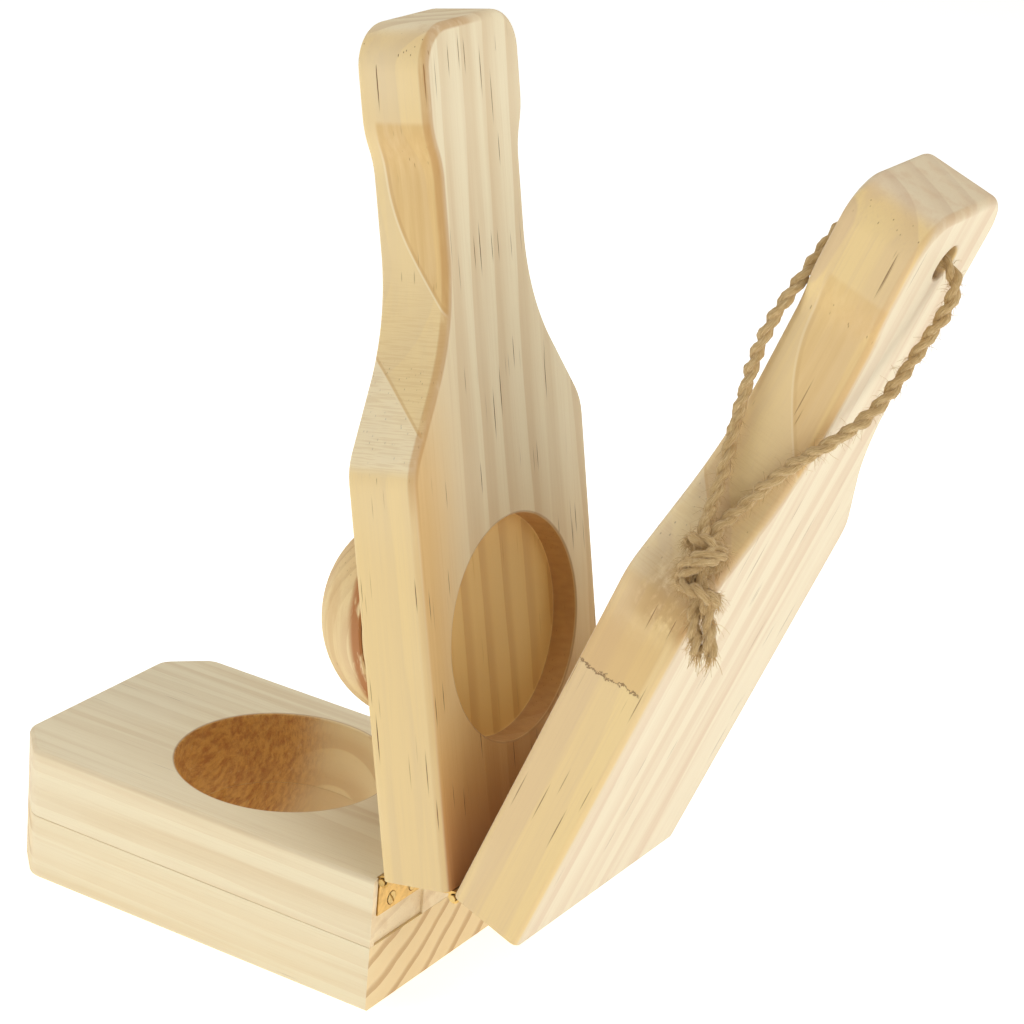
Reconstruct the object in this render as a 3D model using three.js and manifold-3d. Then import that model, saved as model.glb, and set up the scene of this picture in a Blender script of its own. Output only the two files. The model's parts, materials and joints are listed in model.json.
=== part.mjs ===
// Three-board folding plantain press.
// A laminated base with a round cup carries two bottle-shaped paddles that open like a book.
// Millimetres, +Z up, the base lies along X with its hinged end towards +X.
// Every paddle is first laid out closed, flat and along -X, about its own hinge axis,
// and then opened by turning its group about +Y.

import * as THREE from 'three';
import { mergeVertices } from 'three/addons/utils/BufferGeometryUtils.js';
import Module from 'manifold-3d';

const wasm = await Module();
wasm.setup();

// ---------------------------------------------------------------- driving dimensions

const GAP = 0.3;                  // play left between pieces that touch
const BODY_WIDTH = 90;            // width of the base and of each paddle's body
const MIDDLE_THICKNESS = 22.8;
const TOP_THICKNESS = 23.6;
const BASE_LENGTH = 139;
const LOWER_BOARD_HEIGHT = 20.8;
const BASE_HEIGHT = 43.2;
const CORNER_CUT = 12;            // 45 degree corners at the free end of the base
const EDGE_ROUND = 2.4;            // rounding of the long edges
const FACE_GAP = 0.4;             // gap between two closed boards

const BODY_LENGTH = 122.5;        // hinge end to shoulder
const SHOULDER_SLOPE = THREE.MathUtils.degToRad(33.8);
const SHOULDER_END = 143.5;       // where the straight shoulder turns into the throat arc
const THROAT_RADIUS = 61;
const NECK_END = 198;
const HEAD_START = 216;
const HEAD_HALF_WIDTH = 24;
const HEAD_ROUND = 12;
const PADDLE_LENGTH = 240.5;

const PRESS_CENTRE = 65;          // cup, plunger and recess, from the hinged ends
const CUP_RADIUS = 33.5;
const CUP_STRAIGHT = 6;           // upright part of the cup wall
const CUP_DEPTH = 39;
const RECESS_RADIUS = 33;
const RECESS_DEPTH = 8;
const PLUNGER_RADIUS = 31;
const DISC_HEIGHT = 10;
const DOME_HEIGHT = 28;
const DOWEL_RADIUS = 5;
const DOWEL_IN_BOARD = 9;
const DOWEL_IN_DOME = 12;

const HANG_HOLE_CENTRE = 224;     // from the hinge end of the top paddle
const HANG_HOLE_RADIUS = 5;

const MIDDLE_OPEN = THREE.MathUtils.degToRad(79.7);
const TOP_OPEN = THREE.MathUtils.degToRad(31.5);

// brass butt hinges
const LEAF_LENGTH = 24.6;
const LEAF_REACH = 11.5;          // hinge axis to the outer edge of a leaf
const LEAF_THICKNESS = 0.9;
const LEAF_NOTCH = 2.4;           // the plate starts this far from the axis
const KNUCKLE_RADIUS = 1.9;
const PIN_RADIUS = 0.9;
const KNUCKLE_COUNT = 5;
const GAIN_DEPTH = 0.8;           // shallow recess in the wood for the leaves of the lower pair
const LOWER_OFFSET = KNUCKLE_RADIUS + GAP - GAIN_DEPTH;   // sawn ends to the lower hinge axis
const UPPER_OFFSET = KNUCKLE_RADIUS + GAP;                // sawn ends to the upper hinge axis
const LOWER_DROP = 1;             // the lower axis sits this far under the joint between the boards
const HINGE_CENTRE_Y = 30.3;      // hinges sit at plus and minus this across the width
const SCREW_SPACING = 11;
const SCREW_REACH = 8.2;          // hinge axis to the screw line
const SCREW_HEAD_RADIUS = 2;
const SCREW_SHANK_RADIUS = 1.1;
const SCREW_LENGTH = 12;

// jute twine
const TWINE_RADIUS = 1.5;

const BIG = 400;

// ---------------------------------------------------------------- materials

const wood = (colour) => new THREE.MeshStandardMaterial({ color: colour, roughness: 0.6, metalness: 0 });
const paleWood = wood(0xe8d3a8);
const warmWood = wood(0xdfc08c);
const plungerWood = wood(0xd9bb86);
const dowelWood = wood(0xd2b27c);
const brass = new THREE.MeshStandardMaterial({ color: 0xd0a850, roughness: 0.35, metalness: 1 });
const steel = new THREE.MeshStandardMaterial({ color: 0xb9ae8c, roughness: 0.4, metalness: 1 });
const jute = new THREE.MeshStandardMaterial({ color: 0xa88a5c, roughness: 0.95, metalness: 0 });

// ---------------------------------------------------------------- solids

function toSolid(geometry) {
  const bare = geometry.clone();
  bare.deleteAttribute('normal');
  bare.deleteAttribute('uv');
  const merged = mergeVertices(bare, 1e-4);
  return new wasm.Manifold(new wasm.Mesh({
    numProp: 3,
    vertProperties: new Float32Array(merged.attributes.position.array),
    triVerts: new Uint32Array(merged.index.array),
  }));
}

function toMesh(solid, name, material) {
  const data = solid.getMesh();
  const geometry = new THREE.BufferGeometry();
  geometry.setAttribute('position', new THREE.BufferAttribute(new Float32Array(data.vertProperties), 3));
  geometry.setIndex(new THREE.BufferAttribute(new Uint32Array(data.triVerts), 1));
  geometry.computeVertexNormals();
  const mesh = new THREE.Mesh(geometry, material);
  mesh.name = name;
  return mesh;
}

function box(low, high) {
  const size = high.map((value, axis) => value - low[axis]);
  const geometry = new THREE.BoxGeometry(...size);
  geometry.translate(...low.map((value, axis) => value + size[axis] / 2));
  return toSolid(geometry);
}

// A turned solid about the line through (x, y) along +Z; profile points are [radius, z].
function turned(profile, x, y, sides) {
  const points = profile.map(([radius, z]) => new THREE.Vector2(radius, z));
  const geometry = new THREE.LatheGeometry(points, sides);
  geometry.rotateX(Math.PI / 2);
  geometry.translate(x, y, 0);
  return toSolid(geometry);
}

function rod(radius, low, high, x, y, sides) {
  return turned([[0, low], [radius, low], [radius, high], [0, high]], x, y, sides);
}

// An outline in the XY plane raised to the given height, with rounded edges top and bottom.
function roundedBoard(outline, height) {
  const geometry = new THREE.ExtrudeGeometry(outline, {
    depth: height - 2 * EDGE_ROUND,
    bevelEnabled: true,
    bevelThickness: EDGE_ROUND,
    bevelSize: EDGE_ROUND,
    bevelOffset: -EDGE_ROUND,
    bevelSegments: 3,
    curveSegments: 12,
  });
  geometry.translate(0, 0, EDGE_ROUND);
  return toSolid(geometry);
}

function arcPoints(centreX, centreY, radius, from, to, steps) {
  const curve = new THREE.EllipseCurve(centreX, centreY, radius, radius, from, to, to < from);
  return curve.getPoints(steps);
}

// ---------------------------------------------------------------- outlines

// The board runs past x = 0 by this much and is sawn off there, so that its hinge end is square.
const SAW_ALLOWANCE = 8;

function baseOutline() {
  const half = BODY_WIDTH / 2;
  const shape = new THREE.Shape();
  shape.moveTo(SAW_ALLOWANCE, -half);
  shape.lineTo(SAW_ALLOWANCE, half);
  shape.lineTo(-BASE_LENGTH + CORNER_CUT, half);
  shape.lineTo(-BASE_LENGTH, half - CORNER_CUT);
  shape.lineTo(-BASE_LENGTH, -half + CORNER_CUT);
  shape.lineTo(-BASE_LENGTH + CORNER_CUT, -half);
  return shape;
}

// One side of the paddle, from the hinge end to the middle of the head, as (length, half width).
function paddleSide() {
  const half = BODY_WIDTH / 2;
  const shoulderWidth = half - (SHOULDER_END - BODY_LENGTH) * Math.tan(SHOULDER_SLOPE);
  const throatCentreX = SHOULDER_END + THROAT_RADIUS * Math.sin(SHOULDER_SLOPE);
  const throatCentreY = shoulderWidth + THROAT_RADIUS * Math.cos(SHOULDER_SLOPE);
  const neckHalfWidth = throatCentreY - THROAT_RADIUS;
  const throatStart = -Math.PI / 2 - SHOULDER_SLOPE;
  const throat = arcPoints(throatCentreX, throatCentreY, THROAT_RADIUS, throatStart, -Math.PI / 2, 8);

  const swellX = (HEAD_START - NECK_END) / 2;
  const swellY = (HEAD_HALF_WIDTH - neckHalfWidth) / 2;
  const swellAngle = 2 * Math.atan(swellY / swellX);
  const swellRadius = swellX / Math.sin(swellAngle);
  const swellIn = arcPoints(NECK_END, neckHalfWidth + swellRadius, swellRadius,
    -Math.PI / 2, -Math.PI / 2 + swellAngle, 4);
  const swellOut = arcPoints(HEAD_START, HEAD_HALF_WIDTH - swellRadius, swellRadius,
    Math.PI / 2 + swellAngle, Math.PI / 2, 4).slice(1);

  const cornerX = PADDLE_LENGTH - HEAD_ROUND;
  const corner = arcPoints(cornerX, HEAD_HALF_WIDTH - HEAD_ROUND, HEAD_ROUND, Math.PI / 2, 0, 6);
  return [
    new THREE.Vector2(-SAW_ALLOWANCE, half),
    new THREE.Vector2(BODY_LENGTH, half),
    ...throat,
    ...swellIn,
    ...swellOut,
    ...corner,
  ];
}

function paddleOutline() {
  const side = paddleSide();
  const upper = side.map((point) => new THREE.Vector2(-point.x, point.y));
  const lower = side.map((point) => new THREE.Vector2(-point.x, -point.y)).reverse();
  return new THREE.Shape([...upper, ...lower]);
}

function sawn(board) {
  return board.subtract(box([0, -BIG, -BIG], [BIG, BIG, BIG]));
}

// ---------------------------------------------------------------- screw holes in a hinge end

const HINGE_SIDES = [['near', -HINGE_CENTRE_Y], ['far', HINGE_CENTRE_Y]];
const SCREW_OFFSETS = [-SCREW_SPACING / 2, SCREW_SPACING / 2];

// Pilot holes in the end face x = 0, on the line at height z.
function drillEnd(board, z) {
  let drilled = board;
  for (const [, centreY] of HINGE_SIDES) {
    for (const offset of SCREW_OFFSETS) {
      const hole = rod(SCREW_SHANK_RADIUS + GAP, -1, SCREW_LENGTH + 1, 0, 0, 10)
        .rotate([0, -90, 0])
        .translate([0, centreY + offset, z]);
      drilled = drilled.subtract(hole);
    }
  }
  return drilled;
}

// The shallow recesses that take the leaves of the lower pair, up to height z on the end face.
function cutGains(board, z) {
  const half = LEAF_LENGTH / 2 + GAP;
  let cut = board;
  for (const [, centreY] of HINGE_SIDES) {
    cut = cut.subtract(box([-GAIN_DEPTH, centreY - half, -BIG], [BIG, centreY + half, z]));
  }
  return cut;
}

// ---------------------------------------------------------------- base

const LOWER_AXIS_HEIGHT = BASE_HEIGHT + FACE_GAP / 2 - LOWER_DROP;

function cup() {
  const steps = 10;
  const bowlDepth = CUP_DEPTH - CUP_STRAIGHT;
  const rim = BASE_HEIGHT - CUP_STRAIGHT;
  const profile = [];
  for (let step = 0; step <= steps; step += 1) {
    const angle = (step / steps) * Math.PI / 2;
    profile.push([CUP_RADIUS * Math.sin(angle), rim - bowlDepth * Math.cos(angle)]);
  }
  profile.push([CUP_RADIUS, BASE_HEIGHT + 1], [0, BASE_HEIGHT + 1]);
  return turned(profile, -PRESS_CENTRE, 0, 40);
}

const hollowedBase = sawn(roundedBoard(baseOutline(), BASE_HEIGHT)).subtract(cup());

function baseLowerBoard() {
  const slab = box([-BIG, -BIG, -1], [BIG, BIG, LOWER_BOARD_HEIGHT]);
  return toMesh(hollowedBase.intersect(slab), 'base_lower_board', warmWood);
}

function baseUpperBoard() {
  const slab = box([-BIG, -BIG, LOWER_BOARD_HEIGHT + GAP], [BIG, BIG, BASE_HEIGHT + 1]);
  const board = cutGains(hollowedBase.intersect(slab), BIG);
  return toMesh(drillEnd(board, LOWER_AXIS_HEIGHT - SCREW_REACH), 'base_upper_board', paleWood);
}

// ---------------------------------------------------------------- paddles, closed, about their hinge axis

// Where the inner edge of a paddle's hinge end lies, from that paddle's hinge axis.
const MIDDLE_PLACE = [-LOWER_OFFSET, 0, LOWER_DROP + FACE_GAP / 2];
const TOP_PLACE = [-UPPER_OFFSET, 0, FACE_GAP / 2];
// Screw lines on the hinge ends, above the paddle's inner face.
const MIDDLE_INNER_SCREWS = SCREW_REACH - MIDDLE_PLACE[2];
const MIDDLE_OUTER_SCREWS = MIDDLE_THICKNESS + FACE_GAP / 2 - SCREW_REACH;
const TOP_INNER_SCREWS = SCREW_REACH - TOP_PLACE[2];

function middlePaddle() {
  const recess = rod(RECESS_RADIUS, MIDDLE_THICKNESS - RECESS_DEPTH, MIDDLE_THICKNESS + 1,
    -PRESS_CENTRE, 0, 40);
  const socket = rod(DOWEL_RADIUS + GAP, -1, DOWEL_IN_BOARD + GAP, -PRESS_CENTRE, 0, 12);
  let board = sawn(roundedBoard(paddleOutline(), MIDDLE_THICKNESS));
  board = board.subtract(recess).subtract(socket);
  board = cutGains(board, LEAF_REACH - MIDDLE_PLACE[2] + GAP);
  board = drillEnd(drillEnd(board, MIDDLE_INNER_SCREWS), MIDDLE_OUTER_SCREWS);
  const mesh = toMesh(board, 'middle_paddle', paleWood);
  mesh.position.set(...MIDDLE_PLACE);
  return mesh;
}

function plungerDisc() {
  const disc = rod(PLUNGER_RADIUS, -DISC_HEIGHT, -GAP, -PRESS_CENTRE, 0, 40);
  const hole = rod(DOWEL_RADIUS + GAP, -DISC_HEIGHT - 1, 1, -PRESS_CENTRE, 0, 12);
  const mesh = toMesh(disc.subtract(hole), 'plunger_disc', paleWood);
  mesh.position.set(...MIDDLE_PLACE);
  return mesh;
}

function plungerDome() {
  const steps = 9;
  const top = -DISC_HEIGHT - GAP;
  const profile = [];
  for (let step = 0; step <= steps; step += 1) {
    const angle = (step / steps) * Math.PI / 2;
    profile.push([PLUNGER_RADIUS * Math.sin(angle), top - DOME_HEIGHT * Math.cos(angle)]);
  }
  profile.push([0, top]);
  const socket = rod(DOWEL_RADIUS + GAP, top - DOWEL_IN_DOME, 1, -PRESS_CENTRE, 0, 12);
  const mesh = toMesh(turned(profile, -PRESS_CENTRE, 0, 40).subtract(socket), 'plunger_dome', plungerWood);
  mesh.position.set(...MIDDLE_PLACE);
  return mesh;
}

function plungerDowel() {
  const bottom = -DISC_HEIGHT - DOWEL_IN_DOME;
  const dowel = rod(DOWEL_RADIUS, bottom, DOWEL_IN_BOARD, -PRESS_CENTRE, 0, 12);
  const mesh = toMesh(dowel, 'plunger_dowel', dowelWood);
  mesh.position.set(...MIDDLE_PLACE);
  return mesh;
}

function topPaddle() {
  const hole = rod(HANG_HOLE_RADIUS, -1, TOP_THICKNESS + 1, -HANG_HOLE_CENTRE, 0, 20);
  let board = sawn(roundedBoard(paddleOutline(), TOP_THICKNESS)).subtract(hole);
  board = drillEnd(board, TOP_INNER_SCREWS);
  const mesh = toMesh(board, 'top_paddle', paleWood);
  mesh.position.set(...TOP_PLACE);
  return mesh;
}

// ---------------------------------------------------------------- hinges, about their own axis along Y

// A rod along Y, centred on the hinge axis.
function rodAlongY(radius, from, to, sides) {
  return rod(radius, from, to, 0, 0, sides).rotate([-90, 0, 0]);
}

function knuckleSpan(index) {
  const pitch = LEAF_LENGTH / KNUCKLE_COUNT;
  const start = -LEAF_LENGTH / 2 + index * pitch;
  return [start + GAP / 2, start + pitch - GAP / 2];
}

// direction is -1 for the leaf on the lower board, and 1 for the leaf on the upper board.
function hingeLeaf(name, direction, knuckles) {
  const backX = -KNUCKLE_RADIUS;
  const frontX = backX + LEAF_THICKNESS;
  const plateZ = [direction * LEAF_NOTCH, direction * LEAF_REACH].sort((a, b) => a - b);
  const half = LEAF_LENGTH / 2;
  let leaf = box([backX, -half, plateZ[0]], [frontX, half, plateZ[1]]);
  for (const index of knuckles) {
    const [from, to] = knuckleSpan(index);
    const tabZ = [0, direction * (LEAF_NOTCH + 1)].sort((a, b) => a - b);
    leaf = leaf.add(box([backX, from, tabZ[0]], [frontX, to, tabZ[1]]));
    leaf = leaf.add(rodAlongY(KNUCKLE_RADIUS, from, to, 16));
  }
  leaf = leaf.subtract(rodAlongY(PIN_RADIUS + GAP, -half - 1, half + 1, 12));
  for (const offset of SCREW_OFFSETS) {
    const countersink = turned([
      [0, -1],
      [SCREW_SHANK_RADIUS + GAP, -1],
      [SCREW_SHANK_RADIUS + GAP, 0],
      [SCREW_HEAD_RADIUS + GAP, LEAF_THICKNESS],
      [SCREW_HEAD_RADIUS + GAP, LEAF_THICKNESS + 1],
      [0, LEAF_THICKNESS + 1],
    ], 0, 0, 14);
    leaf = leaf.subtract(countersink.rotate([0, 90, 0]).translate([backX, offset, direction * SCREW_REACH]));
  }
  return toMesh(leaf, name, brass);
}

function hingePin(name) {
  const half = LEAF_LENGTH / 2;
  const cap = KNUCKLE_RADIUS * 0.55;
  const pin = rodAlongY(PIN_RADIUS, -half - 0.4, half + 0.4, 12)
    .add(rodAlongY(cap, half + 0.3, half + 0.9, 12))
    .add(rodAlongY(cap, -half - 0.9, -half - 0.3, 12));
  return toMesh(pin, name, steel);
}

// A countersunk wood screw with its head in the leaf, driven along -X.
function hingeScrew(name, y, z) {
  const slotDepth = 0.5;
  const profile = [
    [0, -SCREW_LENGTH],
    [SCREW_SHANK_RADIUS * 0.7, -SCREW_LENGTH + 2],
    [SCREW_SHANK_RADIUS, -SCREW_LENGTH + 5],
    [SCREW_SHANK_RADIUS, GAP],
    [SCREW_HEAD_RADIUS, LEAF_THICKNESS + 0.1],
    [0, LEAF_THICKNESS + 0.25],
  ];
  const slot = box([-SCREW_HEAD_RADIUS - 1, -0.3, LEAF_THICKNESS - slotDepth + 0.25],
    [SCREW_HEAD_RADIUS + 1, 0.3, LEAF_THICKNESS + 2]);
  const screw = turned(profile, 0, 0, 12)
    .subtract(slot.rotate([0, 0, 35]))
    .rotate([0, 90, 0])
    .translate([-KNUCKLE_RADIUS, y, z]);
  return toMesh(screw, name, steel);
}

// Splits one pair of hinges into the meshes that stay on the lower board and those that swing.
function hingePair(joint, lowerName, upperName) {
  const fixed = [];
  const moving = [];
  for (const [side, centreY] of HINGE_SIDES) {
    const parts = [
      [fixed, hingeLeaf(`${joint}_hinge_${side}_${lowerName}_leaf`, -1, [0, 2, 4])],
      [fixed, hingePin(`${joint}_hinge_${side}_pin`)],
      [moving, hingeLeaf(`${joint}_hinge_${side}_${upperName}_leaf`, 1, [1, 3])],
    ];
    SCREW_OFFSETS.forEach((offset, index) => {
      const lower = `${joint}_hinge_${side}_${lowerName}_screw_${index + 1}`;
      const upper = `${joint}_hinge_${side}_${upperName}_screw_${index + 1}`;
      parts.push([fixed, hingeScrew(lower, offset, -SCREW_REACH)]);
      parts.push([moving, hingeScrew(upper, offset, SCREW_REACH)]);
    });
    for (const [list, mesh] of parts) {
      mesh.position.y = centreY;
      list.push(mesh);
    }
  }
  return { fixed, moving };
}

// ---------------------------------------------------------------- twine on the top paddle

// Points are [distance from the hinge end, height above the inner face, offset across the width].
// The loop leaves the knot on the near shoulder, climbs past the outer face to the hole, goes
// through it, and comes back down the near edge to the knot.
const LOOP_ROUTE = [
  [143.5, 15.0, -36.0],
  [148.0, 16.1, -31.7],
  [154.0, 17.4, -28.5],
  [164.5, 21.1, -25.4],
  [175.0, 26.4, -22.9],
  [181.5, 29.1, -18.4],
  [188.0, 30.5, -13.7],
  [196.5, 30.7, -9.5],
  [205.0, 30.7, -6.5],
  [213.0, 30.7, -3.6],
  [220.0, 29.4, -1.2],
  [223.6, 25.1, 0.2],
  [224.2, 18.5, 0.5],
  [224.2, 8.8, 0.4],
  [224.2, 2.2, -0.4],
  [223.8, -1.0, -2.6],
  [222.8, -2.2, -6.0],
  [220.2, -2.4, -10.0],
  [216.0, -2.3, -14.0],
  [210.5, -2.1, -17.6],
  [204.5, -2.1, -20.8],
  [198.5, -2.4, -23.0],
  [192.0, -2.5, -23.8],
  [185.5, -2.2, -23.8],
  [179.0, -1.3, -23.6],
  [172.0, 0.2, -24.0],
  [164.5, 2.2, -25.2],
  [157.5, 4.8, -27.2],
  [150.5, 7.8, -30.7],
  [144.0, 10.6, -35.6],
];
const KNOT_CENTRE = [135.5, 19.6, -45.7];
const KNOT_TOP = [143.4, 12.6, -39.9];
const KNOT_RADII = [7.4, 6.9];
const TAIL_ROUTES = [
  [[124.8, 23.9, -48.2], [122.2, 25.6, -48.6], [119.2, 27.6, -48.6], [116.4, 29.6, -48.4]],
  [[126.0, 27.6, -47.4], [123.4, 29.4, -47.8], [120.4, 31.2, -47.8], [117.6, 33.2, -47.6]],
];

// From a paddle's own measures to its closed layout about the hinge axis.
function onPaddle([along, above, across]) {
  return new THREE.Vector3(TOP_PLACE[0] - along, across, TOP_PLACE[2] + above);
}

function twineTube(name, route, steps) {
  const sides = 8;
  const section = new THREE.Shape();
  for (let side = 0; side < sides; side += 1) {
    const angle = (side / sides) * Math.PI * 2;
    const point = [TWINE_RADIUS * Math.cos(angle), TWINE_RADIUS * Math.sin(angle)];
    if (side === 0) section.moveTo(...point);
    else section.lineTo(...point);
  }
  const path = new THREE.CatmullRomCurve3(route.map(onPaddle), false, 'centripetal');
  const geometry = new THREE.ExtrudeGeometry(section, { steps, bevelEnabled: false, extrudePath: path });
  return toMesh(toSolid(geometry), name, jute);
}

// A plain egg in the place of the knot, laid along the line from its top to its centre.
function twineKnot() {
  const centre = onPaddle(KNOT_CENTRE);
  const top = onPaddle(KNOT_TOP);
  const geometry = new THREE.SphereGeometry(1, 14, 10);
  const halfLength = centre.distanceTo(top) - GAP;
  geometry.scale(KNOT_RADII[0], halfLength, KNOT_RADII[1]);
  const turn = new THREE.Quaternion();
  turn.setFromUnitVectors(new THREE.Vector3(0, 1, 0), top.sub(centre).normalize());
  geometry.applyQuaternion(turn);
  geometry.translate(centre.x, centre.y, centre.z);
  return toMesh(toSolid(geometry), 'twine_knot', jute);
}

function twine() {
  const tails = TAIL_ROUTES.map((route, index) => twineTube(`twine_tail_${index + 1}`, route, 3));
  return [twineTube('twine_loop', LOOP_ROUTE, 44), twineKnot(), ...tails];
}

// ---------------------------------------------------------------- assembly

const press = new THREE.Group();

const lowerHinges = hingePair('lower', 'base', 'middle');
const upperHinges = hingePair('upper', 'middle', 'top');

const lowerAxis = new THREE.Group();
lowerAxis.position.set(LOWER_OFFSET, 0, LOWER_AXIS_HEIGHT);
lowerAxis.add(...lowerHinges.fixed);

const middle = new THREE.Group();
middle.rotation.y = MIDDLE_OPEN;
middle.add(middlePaddle(), plungerDisc(), plungerDome(), plungerDowel(), ...lowerHinges.moving);

const upperAxis = new THREE.Group();
upperAxis.position.set(UPPER_OFFSET - LOWER_OFFSET, 0, MIDDLE_PLACE[2] + MIDDLE_THICKNESS + FACE_GAP / 2);
upperAxis.add(...upperHinges.fixed);

const top = new THREE.Group();
top.rotation.y = TOP_OPEN;
top.add(topPaddle(), ...upperHinges.moving, ...twine());

upperAxis.add(top);
middle.add(upperAxis);
lowerAxis.add(middle);
press.add(baseLowerBoard(), baseUpperBoard(), lowerAxis);

// The origin goes under the middle of the press, without its twine, on the surface it stands on.
press.updateMatrixWorld(true);
const bounds = new THREE.Box3();
press.traverse((node) => {
  if (node.isMesh && !node.name.startsWith('twine_')) bounds.expandByObject(node, true);
});
press.position.set(-(bounds.min.x + bounds.max.x) / 2, -(bounds.min.y + bounds.max.y) / 2, -bounds.min.z);

export default press;
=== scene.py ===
"""Folding plantain press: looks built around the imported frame.

Every board is modelled flat, in its own measures, and then stood where its hinge puts it:
  s  along the board, away from its hinge end
  t  across the board, towards the near side
  n  up from the inner face
Lengths below are in millimetres unless a name says otherwise; Blender itself works in metres.
"""

import json
import math
import random

import bmesh
import bpy
import numpy as np
from mathutils import Matrix, Vector


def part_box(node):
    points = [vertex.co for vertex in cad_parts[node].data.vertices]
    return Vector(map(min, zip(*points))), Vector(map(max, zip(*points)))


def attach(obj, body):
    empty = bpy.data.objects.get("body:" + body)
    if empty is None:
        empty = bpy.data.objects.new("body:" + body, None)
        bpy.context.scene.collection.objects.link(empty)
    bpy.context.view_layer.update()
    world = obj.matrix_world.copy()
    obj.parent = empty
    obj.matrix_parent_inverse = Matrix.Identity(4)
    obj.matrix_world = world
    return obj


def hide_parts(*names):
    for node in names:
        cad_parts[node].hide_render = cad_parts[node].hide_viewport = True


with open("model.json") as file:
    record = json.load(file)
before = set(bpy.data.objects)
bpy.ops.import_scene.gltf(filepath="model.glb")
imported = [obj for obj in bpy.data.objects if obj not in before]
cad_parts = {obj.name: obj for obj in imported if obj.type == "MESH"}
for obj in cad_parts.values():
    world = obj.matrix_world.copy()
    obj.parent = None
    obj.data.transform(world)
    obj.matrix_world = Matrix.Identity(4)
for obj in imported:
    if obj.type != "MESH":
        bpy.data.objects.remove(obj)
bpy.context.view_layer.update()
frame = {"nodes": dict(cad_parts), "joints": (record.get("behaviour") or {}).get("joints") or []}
MM = 0.001
random.seed(7)

# ------------------------------------------------------------------ driving dimensions

BASE_LOW, BASE_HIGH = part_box("base_lower_board")[0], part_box("base_upper_board")[1]
HINGE_X = BASE_HIGH.x
BASE_LENGTH = (BASE_HIGH.x - BASE_LOW.x) / MM
BASE_HEIGHT = BASE_HIGH.z / MM
HALF = BASE_HIGH.y / MM                       # half the width of every board
LOWER_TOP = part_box("base_lower_board")[1].z / MM
UPPER_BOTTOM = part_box("base_upper_board")[0].z / MM
CORNER_CUT = 12.0
GLUE_LINE = 0.08                              # left open between the two glued boards

MIDDLE_THICKNESS, TOP_THICKNESS = 22.8, 23.6
BODY_LENGTH = 122.5
SHOULDER_SLOPE = math.radians(33.8)
SHOULDER_END = 143.5
THROAT_RADIUS = 61.0
NECK_END = 198.0
HEAD_START = 216.0
HEAD_HALF = 24.0
HEAD_ROUND = 12.0
PADDLE_LENGTH = 240.5
EDGE_ROUND = 2.4

PRESS_CENTRE = 65.0
CUP_RADIUS, CUP_STRAIGHT, CUP_DEPTH = 33.5, 6.0, 39.0
RECESS_RADIUS, RECESS_DEPTH = 33.0, 8.0
PLUNGER_RADIUS, DISC_HEIGHT, DOME_HEIGHT = 31.0, 10.0, 28.0
GLUE_GAP = 0.3                                # between the plunger's pieces and the paddle
HOLE_CENTRE, HOLE_RADIUS = 224.0, 5.0

FACE_GAP = 0.4
LOWER_OFFSET, LOWER_DROP, UPPER_OFFSET = 1.4, 1.0, 2.2
GAIN_DEPTH, GAIN_PLAY, GAIN_HEIGHT = 0.8, 0.3, 10.6
MIDDLE_OPEN, TOP_OPEN = math.radians(79.7), math.radians(31.5)

TWINE_DIAMETER = 3.0

# ------------------------------------------------------------------ places


def board_place(corner, opening):
    """Matrix from a board's own (s, t, n), in metres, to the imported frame."""
    along = Vector((-math.cos(opening), 0, math.sin(opening)))
    across = Vector((0, -1, 0))
    up = Vector((math.sin(opening), 0, math.cos(opening)))
    place = Matrix((along, across, up)).transposed().to_4x4()
    place.translation = corner
    return place


def hinged_place(joint, opening, offset, drop):
    """The place of a paddle whose hinge end sits offset behind, and drop above, its hinge axis."""
    axis = next(Vector(j["pos_m"]) for j in frame["joints"] if j["name"] == joint)
    turned = board_place(axis, opening)
    corner = turned @ Vector((offset * MM, 0, (drop + FACE_GAP / 2) * MM))
    return board_place(corner, opening)


BASE_PLACE = board_place(Vector((HINGE_X, 0, 0)), 0)
MIDDLE_PLACE = hinged_place("middle_hinge", MIDDLE_OPEN, LOWER_OFFSET, LOWER_DROP)
TOP_PLACE = hinged_place("top_hinge", MIDDLE_OPEN + TOP_OPEN, UPPER_OFFSET, 0)


def on_board(place, s, t, n):
    return place @ Vector((s * MM, t * MM, n * MM))


# ------------------------------------------------------------------ camera

CAMERA_AIM = Vector((5.35, 5.2, 144.0)) * MM + Vector((HINGE_X, 0, 0))
CAMERA_AZIMUTH, CAMERA_ELEVATION = math.radians(30.54), math.radians(21.46)
CAMERA_ROLL = math.radians(4.95)
CAMERA_DISTANCE = 0.8813
CAMERA_LENS = 108.15


def make_camera():
    azimuth, elevation = CAMERA_AZIMUTH, CAMERA_ELEVATION
    back = Vector((math.sin(azimuth) * math.cos(elevation),
                   -math.cos(azimuth) * math.cos(elevation),
                   math.sin(elevation)))
    right = Vector((0, 0, 1)).cross(back).normalized()
    up = back.cross(right)
    rolled_right = math.cos(CAMERA_ROLL) * right + math.sin(CAMERA_ROLL) * up
    rolled_up = math.cos(CAMERA_ROLL) * up - math.sin(CAMERA_ROLL) * right
    camera = bpy.data.objects.new("camera", bpy.data.cameras.new("camera"))
    bpy.context.scene.collection.objects.link(camera)
    camera.data.lens = CAMERA_LENS
    camera.data.clip_start = 0.01
    place = Matrix((rolled_right, rolled_up, back)).transposed().to_4x4()
    place.translation = CAMERA_AIM + CAMERA_DISTANCE * back
    camera.matrix_world = place
    bpy.context.scene.camera = camera


make_camera()

# ------------------------------------------------------------------ node helpers


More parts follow.
